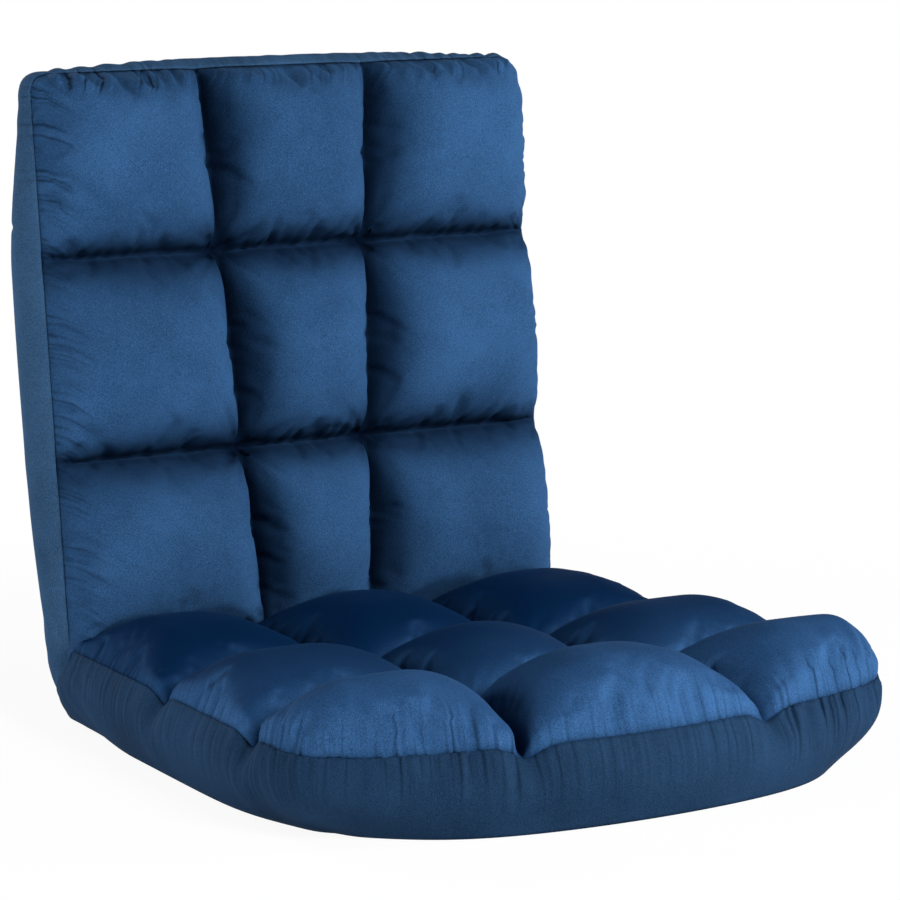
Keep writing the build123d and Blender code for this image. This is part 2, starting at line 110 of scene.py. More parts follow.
backPad = {
    "reach": 0.536,
    "cornerReach": 0.536,
    "rearHalf": 0.250,
    "cornerHalf": 0.250,
    "cornerRound": 0.020,
    "rows": (0.197, 0.374),
    "columns": (0.054, 0.0762, 0.086),
    "crowns": (0.085, 0.084, 0.081),
    "seam": 0.030,
    "valley": 0.018,
    "base": -0.030,
    "swellStart": 0.086,
    "rearSwell": 0.010,
    "topTaper": 0.012,
    "seamDip": 0.003,
    "seamPull": 0.001,
    "cells": ((34, 28, 34), (36, 36, 34)),
    "valleyRound": 0.090,
    "sideRound": 0.060,
    "steep": 1.9,
    "seamRound": 0.050,
    "footSide": -0.006,
    "footFront": -0.018,
    "footCorner": -0.046,
    "footHinge": -0.020,
    "gathers": ((0.75, 0.0, 0.15), (0.75, 0.0, 0.15), (1.0, 0.35, 0.45)),
    "lowerPuckers": ((0, 0, 0), (0.0006, 0.0024, 0.0010), (0.0008, 0.0024, 0.0012)),
    "gatherLength": 0.050,
    "gatherDepth": 0.0046,
    "gatherLean": -0.7,
    "bandDepth": 0.0018,
    "bandGather": 0.5,
    "napDepth": 0,
    "crushed": ((0.014, 0.85), (0.027, 0.75), (0.024, 0.7), (0.010, 0.6), (0.027, 0.98)),
    "overhang": 0.004,
    "puckerDepth": 0.0002,
    "starDepth": 0.0034,
    "crossSeam": 0.405,  # where the side band is pieced together, on its first side
    "seed": 11,
}
cover = {
    "creaseLevel": 0.040,  # distance of the crease seam from the hinge line
    "creaseGap": 0.0006,
    "creaseRound": 0.085,
    "deepest": 0.0155,
    "startShare": 0.92,  # height before the filling swells
    "valleyGap": 0.0007,
    "meet": 0.0015,  # how far the sides of two tufts are pushed together over a sewn line
    "meetReach": 0.02,
    "cloth": 0.0012,
    "dipReach": 0.016,  # stretch of seam that a sewn line draws in
    "seamBlend": 0.045,
    "pullReach": 0.030,
    "crossingDrop": 0.0025,
    "crossingReach": 0.020,
    "creaseBlend": 0.050,
    "bandBulge": 0.010,
    "bandRows": 20,
    "rearCrown": 0.003,
    "taperStart": 0.72,  # share of the way from the zip to the top
    "stripColumns": 97,
    "stripLength": 0.044,
    "stitchSink": 0.0004,
    "fanReach": 0.075,
    "bendReach": 0.064,  # half of the stretch at the hinge
}
folds = {
    "spacing": (0.009, 0.019),
    "reach": (0.016, 0.036),
    "width": 0.0044,
    "slant": 0.35,
    "fanHeadings": (0.35, 0.7, 1.0, 1.25),  # folds that fan out from the lower end of the crease
    "fanDepth": 0.0026,
    "hingeDepth": 0.008,
    "hingeReach": 0.009,
    "crossDepth": 0.0016,
    "fanReach": (0.10, 0.02),
    "fanStart": 0.015,
    "fanWidth": (0.004, 0.06),
    "crossWidth": 0.003,
    "cornerReach": 0.09,
    "cornerFlat": 0.6,
    "bulgeHigh": 0.85,
    "release": 0.4,  # share of the height over which the band leaves the line of the seam
    "footReach": 0.16,
    "frontShare": 0.97,
    "lengths": (0.5, 1.3),
    "depths": (0.4, 1.3),
    "sides": 0.3,  # strength of the pleats at the sides, in front and round the corners
    "front": 0.05,
    "corners": 0.65,
    "cornersFrom": (0.06, 0.15),
    "gatherReach": 0.055,
    "smoothing": 30,
}
swelling = {"frames": 20, "cap": 0.026}
clothSettings = {
    "quality": 6, "mass": 0.3, "tension_stiffness": 15, "compression_stiffness": 12, "shear_stiffness": 4,
    "bending_stiffness": 1.2, "use_pressure": True, "uniform_pressure_force": 4.0, "shrink_min": -0.02,
}
# spacing along the edge, length, width, lean and its spread
wrinkles = {
    "lower": {"spacing": 0.012, "length": 0.036, "width": 0.0034, "lean": 0.3, "spread": 0.6},
    "seam": {"spacing": 0.015, "width": 0.0046, "spread": 0.25},
    "pucker": {"spacing": 0.015, "length": 0.030, "width": 0.0040, "lean": 0, "spread": 0.5},
    "star": {
        "headings": (0.22, 0.55, 0.9, 1.25), "turn": 0.1, "width": 0.0028, "widen": 0.04, "start": 0.012,
        "length": (0.04, 0.075), "depth": (0.5, 1.1),
    },
    "vary": {"start": (0.3, 1), "length": (0.5, 1.35), "depth": (0.35, 1.2), "spacing": (0.6, 1.5)},
}
pleatShape = {"ridge": 0.55, "ridgeAt": 1.7, "widen": 0.05, "soften": 0.002}
# painted shade: where the velvet is darkened, on level tops, towards the crease and where the sewn lines
# cross
shadePainting = {
    "atCrease": 0.6,
    "creaseFrom": 0.7,
    "level": (0.2, 0.98),
    "frontEase": 0.6,
    "crossingShare": 0.55,
}


def smooth(low, high, value):
    t = np.clip((value - low) / (high - low), 0, 1)
    return t * t * (3 - 2 * t)


def shares(count):
    return np.linspace(0, 1, count)


def onSeat(local):
    x, r, n = local[..., 0], local[..., 1], local[..., 2]
    return np.stack([-x, pivot[1] - r, pivot[2] + n], -1)


def onBack(local):
    x, r, n = local[..., 0], local[..., 1], local[..., 2]
    c, s = math.cos(raiseAngle), math.sin(raiseAngle)
    return np.stack([x, pivot[1] + r * c - n * s, pivot[2] + r * s + n * c], -1)


# plan of a pad

def sideHalf(pad, r):
    return pad["rearHalf"] + (pad["cornerHalf"] - pad["rearHalf"]) * r / pad["cornerReach"]


def frontReach(pad, x):
    bow = pad["reach"] - pad["cornerReach"]
    if bow == 0:
        return pad["reach"] + 0 * x
    radius = (pad["cornerHalf"] ** 2 + bow**2) / (2 * bow)
    return pad["reach"] - radius + np.sqrt(radius**2 - x**2)


def columnHalf(pad, r):
    return pad["columns"][0] + (pad["columns"][1] - pad["columns"][0]) * r / pad["rows"][1]


def runAlong(path):
    return np.concatenate([[0], np.cumsum(np.linalg.norm(np.diff(path, axis=0), axis=1))])


def resample(path, count):
    steps = runAlong(path)
    at = np.linspace(0, steps[-1], count + 1)
    return np.stack([np.interp(at, steps, path[:, k]) for k in (0, 1)], -1)


def cornerPaths(pad, rowReach, columnEnd):
    cornerX = pad["cornerHalf"]
    corner = np.array([cornerX, frontReach(pad, cornerX)])
    bend = pad["cornerRound"]
    before = corner[1] - bend
    onSide = np.array([sideHalf(pad, before), before])
    frontX = np.linspace(columnEnd, cornerX, 400)
    front = np.stack([frontX, frontReach(pad, frontX)], -1)
    front = front[np.linalg.norm(front - corner, axis=1) >= bend]
    t = shares(41)[:, None]
    turn = (1 - t) ** 2 * onSide + 2 * t * (1 - t) * corner + t**2 * front[-1]
    start = np.array([[sideHalf(pad, rowReach), rowReach]])
    return np.concatenate([start, turn[:21]]), np.concatenate([front, turn[20:-1][::-1]])


def coons(near, far, left, right):
    u = shares(len(near))[None, :, None]
    v = shares(len(left))[:, None, None]
    sides = (1 - u) * left[:, None] + u * right[:, None]
    ends = (1 - v) * near[None] + v * far[None]
    corners = (1 - v) * ((1 - u) * near[0] + u * near[-1]) + v * ((1 - u) * far[0] + u * far[-1])
    return sides + ends - corners


def line(a, b, count):
    t = shares(count + 1)[:, None]
    return (1 - t) * np.array(a) + t * np.array(b)


# nine cells of a pad in plan, as a list of rows
def planCells(pad, start, counts):
    (sideCount, middleCount, _), rowCounts = counts
    reaches = (start, *pad["rows"])
    columnEnd = pad["columns"][2]
    cells = []
    for row, rowCount in enumerate(rowCounts):
        near = reaches[row]
        nearColumn, nearSide = columnHalf(pad, near), sideHalf(pad, near)
        if row < 2:
            far = reaches[row + 1]
            farColumn, farSide = columnHalf(pad, far), sideHalf(pad, far)
            column = line((nearColumn, near), (farColumn, far), rowCount)
            outer = line((nearSide, near), (farSide, far), rowCount)
            farMiddle = line((-farColumn, far), (farColumn, far), middleCount)
            farOuter = line((farColumn, far), (farSide, far), sideCount)
        else:
            frontX = np.linspace(-columnEnd, columnEnd, 200)
            front = np.stack([frontX, frontReach(pad, frontX)], -1)
            sidePath, frontPath = cornerPaths(pad, near, columnEnd)
            column = line((nearColumn, near), front[-1], rowCount)
            outer = resample(sidePath, rowCount)
            farMiddle = resample(front, middleCount)
            farOuter = resample(frontPath, sideCount)
        flip = np.array([-1, 1])
        nearMiddle = line((-nearColumn, near), (nearColumn, near), middleCount)
        nearOuter = line((nearColumn, near), (nearSide, near), sideCount)
        middle = coons(nearMiddle, farMiddle, column * flip, column)
        right = coons(nearOuter, farOuter, column, outer)
        cells.append([right[:, ::-1] * flip, middle, right])
    return cells


def joinCells(cells):
    rows = []
    for row in cells:
        joined = np.concatenate([row[0], row[1][:, 1:], row[2][:, 1:]], 1)
        rows.append(joined if not rows else joined[1:])
    return np.concatenate(rows, 0)


# what make gives for each cell, joined to one grid
def overCells(make, pad, cells, *more):
    return joinCells([
        [make(pad, cell, r, c, *more) for c, cell in enumerate(row)] for r, row in enumerate(cells)
    ])


def quarter(distance, radius, power=2.0):
    return (1 - (1 - np.clip(distance / radius, 0, 1)) ** power) ** (1 / power)


# distances from each point of a cell to its four edges
def edgeDistances(cell):
    u = shares(cell.shape[1])[None, :]
    v = shares(cell.shape[0])[:, None]
    width = np.linalg.norm(cell[:, -1] - cell[:, 0], axis=-1)[:, None]
    length = np.linalg.norm(cell[-1] - cell[0], axis=-1)[None, :]
    return u * width, (1 - u) * width, v * length, (1 - v) * length


# a soft hump that is one at no distance
def hump(distance, reach):
    return np.exp(-((distance / reach) ** 2))


# distances to the outer seams and to the sewn lines, far off where the cell has none there
def seamDistances(cell, row, column):
    left, right, near, far = edgeDistances(cell)
    none = 9.0 + 0 * left
    return left if column == 0 else right if column == 2 else none, far if row == 2 else none


def sewnDistances(cell, row, column):
    left, right, near, far = edgeDistances(cell)
    none = 9.0 + 0 * left
    ends = near if row else none, far if row < 2 else none
    return *ends, left if column else none, right if column < 2 else none


# one tuft over a cell, with the seam drawn in where a sewn line ends
def tuftCell(pad, cell, row, column):
    seamSide, seamEnd = seamDistances(cell, row, column)
    nearEnd, farEnd, leftEnd, rightEnd = sewnDistances(cell, row, column)
    near = edgeDistances(cell)[2]
    seam = np.minimum(seamSide, seamEnd)
    rowEnd, columnEnd = np.minimum(nearEnd, farEnd), np.minimum(leftEnd, rightEnd)
    dip = np.where(seamSide < seamEnd, hump(rowEnd, cover["dipReach"]), hump(columnEnd, cover["dipReach"]))
    seamLevel = pad["seam"] - pad["seamDip"] * dip
    level = pad["valley"] + (seamLevel - pad["valley"]) * smooth(cover["seamBlend"], 0, seam)
    level = level - cover["crossingDrop"] * hump(np.hypot(rowEnd, columnEnd), cover["crossingReach"])
    if row == 0:
        level = level + np.maximum(creaseHigh - level, 0) * smooth(cover["creaseBlend"], 0, near)
    seamRound, steep = pad["seamRound"], pad["steep"]
    upOne = quarter(rowEnd, pad["valleyRound"], steep)
    upOther = quarter(columnEnd, pad["sideRound"], steep)
    rise = np.maximum(upOne, 1e-3) ** -2 + np.maximum(upOther, 1e-3) ** -2 - 1
    rise = np.where(np.minimum(upOne, upOther) > 1e-3, rise**-0.5, 0)
    rise = rise * quarter(seamSide, seamRound) * quarter(seamEnd, seamRound)
    rise = rise * (1 if row else quarter(near, cover["creaseRound"]))
    height = level + (pad["crowns"][row] * cover["startShare"] - level) * rise
    inward = cell.mean((0, 1)) - cell
    inward = inward / np.maximum(np.linalg.norm(inward, axis=-1, keepdims=True), 1e-6)
    sideways = np.where((seamSide < seamEnd)[..., None], inward * [1, 0], inward * [0, 1])
    plan = cell + sideways * (pad["seamPull"] * dip * np.exp(-seam / cover["pullReach"]))[..., None]
    return np.concatenate([plan, height[..., None]], -1)


# the rear of the back swells out between the zip and the top
def footLevel(pad, r):
    share = np.clip((r - pad["swellStart"]) / (pad["reach"] - pad["swellStart"]), 0, 1)
    taper = pad["topTaper"] * smooth(cover["taperStart"], 1, share)
    return pad["base"] - pad["rearSwell"] * 4 * share * (1 - share) + taper


creaseStart = cover["creaseLevel"] * math.cos(creaseAngle)
creaseHigh = cover["creaseLevel"] * math.sin(creaseAngle)


# each pad stays on its own side of the plane between them
def keepToSide(local):
    limit = np.maximum(local[..., 1], 0) * math.tan(creaseAngle) - cover["creaseGap"]
    local[..., 2] = np.minimum(local[..., 2], limit)
    return local


# faces of a grid of points, wound so that they look along +n
def gridFaces(rows, columns):
    index = np.arange(rows * columns).reshape(rows, columns)
    quads = np.stack([index[:-1, :-1], index[:-1, 1:], index[1:, 1:], index[1:, :-1]], -1)
    return quads.reshape(-1, 4)


def newObject(name, data):
    obj = bpy.data.objects.new(name, data)
    bpy.context.scene.collection.objects.link(obj)
    return obj


def applyModifiers(obj):
    mesh = bpy.data.meshes.new_from_object(obj.evaluated_get(bpy.context.evaluated_depsgraph_get()))
    obj.modifiers.clear()
    obj.data = mesh


def meshObject(name, points, faces, uv=None, **values):
    mesh = bpy.data.meshes.new(name)
    mesh.from_pydata(points.reshape(-1, 3).tolist(), [], faces.tolist())
    for label, value in values.items():
        data = mesh.attributes.new(label, "FLOAT", "POINT").data
        data.foreach_set("value", value.ravel().astype(np.float32))
    if uv is not None:
        layer = mesh.uv_layers.new(name="cloth")
        flat = uv.reshape(-1, 2)[faces.reshape(-1)]
        layer.data.foreach_set("uv", flat.reshape(-1).astype(np.float32))
    mesh.polygons.foreach_set("use_smooth", np.ones(len(mesh.polygons), bool))
    mesh.update()
    return newObject(name, mesh)


# the filling swells each tuft between its sewn lines
def swell(name, points, held):
    rows, columns = points.shape[:2]
    obj = meshObject(name + "Swelling", points, gridFaces(rows, columns))
    group = obj.vertex_groups.new(name="held")
    group.add(np.flatnonzero(held.reshape(-1)).tolist(), 1.0, "REPLACE")
    cloth = obj.modifiers.new("Cloth", "CLOTH")
    cloth.settings.vertex_group_mass = "held"
    for label, value in clothSettings.items():
        setattr(cloth.settings, label, value)
    cloth.settings.effector_weights.gravity = 0
    cloth.collision_settings.use_collision = False
    cloth.collision_settings.use_self_collision = False
    cloth.point_cache.frame_start = 1
    cloth.point_cache.frame_end = swelling["frames"]
    scene = bpy.context.scene
    for step in range(1, swelling["frames"] + 1):
        scene.frame_set(step)
    evaluated = obj.evaluated_get(bpy.context.evaluated_depsgraph_get())
    moved = np.zeros(rows * columns * 3, np.float32)
    evaluated.data.vertices.foreach_get("co", moved)
    scene.frame_set(1)
    bpy.data.objects.remove(obj)
    shift = moved.reshape(rows, columns, 3) - points
    size = np.linalg.norm(shift, axis=-1, keepdims=True)
    print(name, "swelled by up to", round(float(size.max()) * 1000, 1), "mm")
    return points + shift * np.minimum(1, swelling["cap"] / np.maximum(size, 1e-9))


# a point between each two, with the sewn lines left sharp
def refineAxis(points, breaks):
    parts = []
    for low, high in zip(breaks[:-1], breaks[1:]):
        p = points[low:high + 1]
        middle = (p[:-1] + p[1:]) / 2
        middle[1:-1] = (9 * (p[1:-2] + p[2:-1]) - p[:-3] - p[3:]) / 16
        middle[0] = (3 * p[0] + 6 * p[1] - p[2]) / 8
        middle[-1] = (3 * p[-1] + 6 * p[-2] - p[-3]) / 8
        fine = np.empty((2 * len(p) - 1, *p.shape[1:]))
        fine[::2], fine[1::2] = p, middle
        parts.append(fine if not parts else fine[1:])
    return np.concatenate(parts, 0)


def refine(points, counts):
    across = np.concatenate([[0], np.cumsum(counts[0])])
    along = np.concatenate([[0], np.cumsum(counts[1])])
    points = refineAxis(points, along)
    return refineAxis(points.swapaxes(0, 1), across).swapaxes(0, 1)


def surfaceNormals(points):
    across = np.gradient(points, axis=1)
    along = np.gradient(points, axis=0)
    normal = np.cross(across, along)
    return normal / np.maximum(np.linalg.norm(normal, axis=-1, keepdims=True), 1e-9)


# a groove with a ridge beside it, wider away from its edge
def pleat(size, along, distance, reach, width):
    offset = along / (width * (1 + distance / pleatShape["widen"]))
    fade = smooth(reach, 0, distance) * (1 - np.exp(-distance / pleatShape["soften"]))
    ridge = pleatShape["ridge"] * np.exp(-((offset - pleatShape["ridgeAt"]) ** 2))
    return size * (np.exp(-(offset**2)) - ridge) * fade


# gathers and puckers of one tuft: grooves that start at its sewn edges
def wrinkleCell(pad, cell, row, column, rng):
    left, right, near, far = edgeDistances(cell)
    depth = np.zeros(left.shape)

    def grooves(distance, along, amount, spacing, length, width, lean, spread):
        nonlocal depth
        vary = wrinkles["vary"]
        at = along.min() + spacing * rng.uniform(*vary["start"])
        while at < along.max():
            reach = length * rng.uniform(*vary["length"])
            slant = lean + rng.uniform(-spread, spread)
            size = amount * rng.uniform(*vary["depth"])
            depth = depth + pleat(size, along - at - slant * distance, distance, reach, width)
            at += spacing * rng.uniform(*vary["spacing"])

    seamEdges = []
    valleyEdges = []
    (seamEdges if column == 0 else valleyEdges).append((left, near))
    (seamEdges if column == 2 else valleyEdges).append((right, near))
    (seamEdges if row == 2 else valleyEdges).append((far, left))
    if row:
        valleyEdges.append((near, left))
        grooves(near, left, pad["lowerPuckers"][row][column], **wrinkles["lower"])
    if row < 2:
        valleyEdges.append((far, left))
    gathered = pad["gatherDepth"] * pad["gathers"][row][column]
    for distance, along in seamEdges:
        lean = pad["gatherLean"] if along is near else 0
        grooves(distance, along, gathered, length=pad["gatherLength"], lean=lean, **wrinkles["seam"])
    for distance, along in valleyEdges:
        grooves(distance, along, pad["puckerDepth"], **wrinkles["pucker"])

    def star(a, b):
        nonlocal depth
        look = wrinkles["star"]
        distance = np.hypot(a, b)
        angle = np.arctan2(b, a)
        for heading in look["headings"]:
            heading = heading + rng.uniform(-look["turn"], look["turn"])
            reach = rng.uniform(*look["length"])
            offset = (angle - heading) * distance / (look["width"] + look["widen"] * distance)
            fade = smooth(reach, look["start"], distance) * smooth(0.0, look["start"], distance)
            depth = depth + pad["starDepth"] * rng.uniform(*look["depth"]) * np.exp(-(offset**2)) * fade

    for end, atEnd in ((near, row > 0), (far, row < 2)):
        for side, atSide in ((right, column < 2), (left, column > 0)):
            if atEnd and atSide:
                star(side, end)
    return depth


def rimOf(grid):
    return np.concatenate([grid[:, 0], grid[-1, 1:], grid[::-1, -1][1:]])


# how strongly the cloth is gathered, most at the seam
def gatherCell(pad, cell, row, column):
    seam = np.minimum(*seamDistances(cell, row, column))
    return pad["gathers"][row][column] * smooth(pad["gatherLength"] * 0.6, 0.001, seam)


# painted shade down in the sewn lines, most where they cross
def paintedSewnShade(pad, cell, row, column):
    ends = nearEnd, farEnd, leftEnd, rightEnd = sewnDistances(cell, row, column)
    crossing = np.hypot(np.minimum(nearEnd, farEnd), shadePainting["crossingShare"] * np.minimum(leftEnd, rightEnd))
    dark = 0 * crossing
    for distance, (reach, depth) in zip((*ends, crossing), pad["crushed"]):
        dark = np.maximum(dark, depth * hump(distance, reach))
    return dark


# painted shade: darker where the cloth lies level and faces up, and all over towards the crease
def paintedTopShade(pad, points):
    reach = points[..., 1]
    creaseFrom = shadePainting["creaseFrom"] * pad["rows"][0]
    allOver = shadePainting["atCrease"] * (1 - smooth(creaseFrom, pad["rows"][1], reach))
    nap = allOver + (1 - allOver) * smooth(*shadePainting["level"], surfaceNormals(points)[..., 2])
    return pad["napDepth"] * nap * (1 - shadePainting["frontEase"] * smooth(pad["rows"][0], pad["reach"], reach))


# place along the nearest seam and distance from it
def seamPlace(plan):
    rim = rimOf(plan)
    run = runAlong(rim)
    placed = np.empty(plan.shape)
    for index, row in enumerate(plan):
        away = np.linalg.norm(row[:, None] - rim[None], axis=-1)
        nearest = away.argmin(1)
        placed[index] = np.stack([run[nearest], away[np.arange(len(row)), nearest]], -1)
    return placed


# each tuft fills out to its sewn lines, where it meets the next one
def fillOut(distance):
    return np.maximum(distance - cover["meet"] * np.exp(-distance / cover["meetReach"]), cover["valleyGap"])


def meetNeighbours(points, axis, lines):
    place = points[..., axis]
    step = np.arange(points.shape[1 - axis])
    step = step[None, :] if axis == 0 else step[:, None]
    for index in lines:
        edge = place[:, index][:, None] if axis == 0 else place[index][None, :]
        place = np.where(step < index, edge - fillOut(edge - place), place)
        place = np.where(step > index, edge + fillOut(place - edge), place)
    points[..., axis] = place


def doubled(counts):
    return tuple(tuple(2 * count for count in part) for part in counts)


def tuftedPanel(name, pad, place):
    counts = pad["cells"]
    cells = planCells(pad, creaseStart, counts)
    start = keepToSide(overCells(tuftCell, pad, cells))
    across, along = np.cumsum(counts[0]), np.cumsum(counts[1])
    held = np.zeros(start.shape[:2], bool)
    held[:, [0, *across]] = True
    held[[0, *along], :] = True
    full = swell(name, start, held)
    meetNeighbours(full, 0, across[:2])
    meetNeighbours(full, 1, along[:2])
    most = sideHalf(pad, full[..., 1]) + pad["overhang"]
    full[..., 0] = np.clip(full[..., 0], -most, most)
    full[..., 1] = np.minimum(full[..., 1], frontReach(pad, full[..., 0]) + pad["overhang"])
    full = keepToSide(full)
    print(name, "stands", round(float(full[..., 2].max()) * 1000, 1), "mm over the frame")
    fine = refine(full, counts)
    fineCells = planCells(pad, creaseStart, doubled(counts))
    rng = np.random.default_rng(pad["seed"])
    depth = overCells(wrinkleCell, pad, fineCells, rng)
    fine = fine - surfaceNormals(fine) * depth[..., None]
    fine[1:, :, 2] = np.maximum(fine[1:, :, 2], cover["deepest"])
    fine = keepToSide(fine)
    gather = overCells(gatherCell, pad, fineCells)
    uv = seamPlace(joinCells(fineCells))
    uv[..., 0] -= pad["gatherLean"] * uv[..., 1]
    # painted shade where the cloth lies level, towards the crease and down in the sewn lines
    nap = np.maximum(paintedTopShade(pad, fine), overCells(paintedSewnShade, pad, fineCells))
    return meshObject(name, place(fine), gridFaces(*fine.shape[:2]), uv, gather=gather, nap=nap), fine


# the band of cloth round a pad, from the seam down to the foot
def sideBand(name, pad, panel, place):
    seam = rimOf(panel)
    plain = rimOf(joinCells(planCells(pad, creaseStart, doubled(pad["cells"]))))
    run = runAlong(seam[:, :2])
    tangent = np.gradient(plain, axis=0)
    for _ in range(folds["smoothing"]):
        tangent[1:-1] = (tangent[:-2] + 2 * tangent[1:-1] + tangent[2:]) / 4
    outward = np.stack([-tangent[:, 1], tangent[:, 0]], -1)
    outward = outward / np.linalg.norm(outward, axis=1, keepdims=True)
    t = shares(cover["bandRows"] + 1)[:, None]
    foot = np.concatenate([plain, footLevel(pad, plain[:, 1])[:, None]], 1)
    # near the hinge the foot runs round the hinge line, so that the band fans out
    fan, radius = cover["fanReach"], -pad["base"]
    turn = math.pi / 2 - creaseAngle
    way = (seam[:, 1] - creaseStart) / (fan - creaseStart) * (fan + radius * turn) - radius * turn
    angle = np.clip(-way / radius, 0, turn)
    near = seam[:, 1] < fan
    foot[:, 1] = np.where(near, np.where(way < 0, -radius * np.sin(angle), way), foot[:, 1])
    foot[:, 2] = np.where(near & (way < 0), -radius * np.cos(angle), foot[:, 2])
    points = (1 - t)[..., None] * seam[None] + t[..., None] * foot[None]
    release = (1 - t) - smooth(folds["release"], 0, t)
    points[..., :2] += release[..., None] * (plain - seam[:, :2])[None]
    # how far the foot stands in or out along the way round
    frontness = smooth(pad["rows"][1], pad["reach"] * folds["frontShare"], plain[:, 1])
    corner = np.array([pad["cornerHalf"], pad["cornerReach"]])
    cornerness = hump(np.linalg.norm(np.abs(plain) - corner, axis=1), folds["cornerReach"])
    footOut = pad["footSide"] + (pad["footFront"] - pad["footSide"]) * frontness
    footOut = footOut + (pad["footCorner"] - footOut) * cornerness
    hingeness = smooth(folds["footReach"], 0.0, plain[:, 1])
    footOut = (footOut + (pad["footHinge"] - footOut) * hingeness)[None, :]
    bulge = cover["bandBulge"] * (1 - folds["cornerFlat"] * cornerness)
    bulge = bulge * np.sin(math.pi * t ** folds["bulgeHigh"]) + footOut * t**3
    drop = t * np.linalg.norm(foot - seam, axis=1)[None, :]
    fromHinge = np.minimum(run, run[-1] - run)[None, :]
    fold = hump(fromHinge, folds["hingeReach"]) * np.sin(math.pi * t) ** 0.5
    bulge -= folds["hingeDepth"] * fold
    # pleats below the seam, strongest round the corners
    rng = np.random.default_rng(pad["seed"] + 1)
    depth = np.zeros(bulge.shape)
    corners = folds["corners"] * smooth(*folds["cornersFrom"], np.abs(plain[:, 0]))
    strength = folds["sides"] + frontness * (folds["front"] + corners)
    at = 0.0
    while at < run[-1]:
        share = np.interp(at, run, strength)
        reach = folds["reach"][0] + folds["reach"][1] * share
        reach = reach * rng.uniform(*folds["lengths"])
        slant = rng.uniform(-folds["slant"], folds["slant"])
        size = pad["bandDepth"] * share * rng.uniform(*folds["depths"])
        depth += pleat(size, run[None, :] - at - slant * drop, drop, reach, folds["width"])
        at += rng.uniform(*folds["spacing"])
    fanWidth, fanWiden = folds["fanWidth"]
    spread = np.arctan2(drop, fromHinge + fanWidth)
    distance = np.hypot(drop, fromHinge)
    fade = smooth(*folds["fanReach"], distance) * smooth(0, folds["fanStart"], distance)
    for heading in folds["fanHeadings"]:
        offset = (spread - heading) * distance / (fanWidth + fanWiden * distance)
        depth += folds["fanDepth"] * np.exp(-(offset**2)) * fade
    if pad["crossSeam"]:
        at = np.interp(pad["crossSeam"], seam[: len(panel), 1], run[: len(panel)])
        across = folds["crossDepth"] * hump(run[None, :] - at, folds["crossWidth"])
        depth += across * np.sin(math.pi * t) ** 0.3
    points[..., :2] += outward[None] * (bulge - depth)[..., None]
    points[..., 2] = np.maximum(points[..., 2], foot[None, :, 2])
    uv = np.stack([run[None, :] + 0 * drop, drop], -1)
    gather = strength[None, :] * smooth(folds["gatherReach"], 0, drop) * pad["bandGather"]
    band = meshObject(name, place(points), gridFaces(*points.shape[:2])[:, ::-1], uv, gather=gather)
    return band, points, int((way[: len(panel)] < 0).sum())


# plain cloth over the underside of the seat or the rear of the back, sewn to the foot of the band
def footPanel(name, panel, band, arcCount, place, crown, opening=None):
    rows, columns = panel.shape[:2]
    foot = band[-1]
    left, right = foot[arcCount:rows], foot[::-1][arcCount:rows]
    far = foot[rows - 1:rows - 1 + columns]
    share = shares(columns)[:, None]
    points = coons((1 - share) * left[0] + share * right[0], far, left, right)
    u = shares(columns)[None, :]
    v = shares(len(left))[:, None]
    points[..., 2] -= crown * (16 * u * (1 - u) * v * (1 - v)) ** 0.8
    faces = gridFaces(*points.shape[:2])[:, ::-1]
    if opening:
        half, at, halfWidth = opening["half"], opening["at"], opening["width"] / 2
        along, across = points[:, columns // 2, 1].copy(), points[len(left) // 4, :, 0].copy()
        for edge in (at - halfWidth, at + halfWidth):
            points[np.abs(along - edge).argmin(), 2:-2, 1] = edge
        for edge in (-half, half):
            points[: len(left) // 3, np.abs(across - edge).argmin(), 0] = edge
        middle = points.reshape(-1, 3)[faces].mean(1)
        inside = (np.abs(middle[:, 0]) < half) & (np.abs(middle[:, 1] - at) < halfWidth)
        faces = faces[~inside]
    return meshObject(name, place(points), faces, points[..., :2]), points


# the strip that closes the outside of the hinge, between the two feet
def hingeStripCloth(name, seatFoot, backFoot, seatCount, backCount):
    seatEnds = onSeat(seatFoot[::-1][:seatCount + 1]), onSeat(seatFoot[:seatCount + 1])
    backEnds = onBack(backFoot[:backCount + 1]), onBack(backFoot[::-1][:backCount + 1])
    left, right = (np.concatenate([s[::-1], b[1:]]) for s, b in zip(seatEnds, backEnds))
    share = shares(cover["stripColumns"])[None, :, None]
    points = (1 - share) * left[:, None] + share * right[:, None]
    length = shares(len(left))[:, None] + 0 * share[..., 0]
    uv = np.stack([points[..., 0], length * cover["stripLength"]], -1)
    return meshObject(name, points, gridFaces(*points.shape[:2])[:, ::-1], uv), points


def finishCloth(obj, thickness):
    solid = obj.modifiers.new("Thickness", "SOLIDIFY")
    solid.thickness = thickness
    solid.offset = -1
    applyModifiers(obj)


def bendWithBack(obj):
    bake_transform(obj)


# materials

def startMaterial(name):
    material = bpy.data.materials.new(name)
    material.use_nodes = True
    return material, material.node_tree, material.node_tree.nodes["Principled BSDF"]


def addNode(tree, kind, inputs=None, **settings):
    node = tree.nodes.new("ShaderNode" + kind)
    for label, value in settings.items():
        setattr(node, label, value)
    for label, value in (inputs or {}).items():
        node.inputs[label].default_value = value
    return node


def join(one, output, other, slot):
    one.id_data.links.new(one.outputs[output], other.inputs[slot])
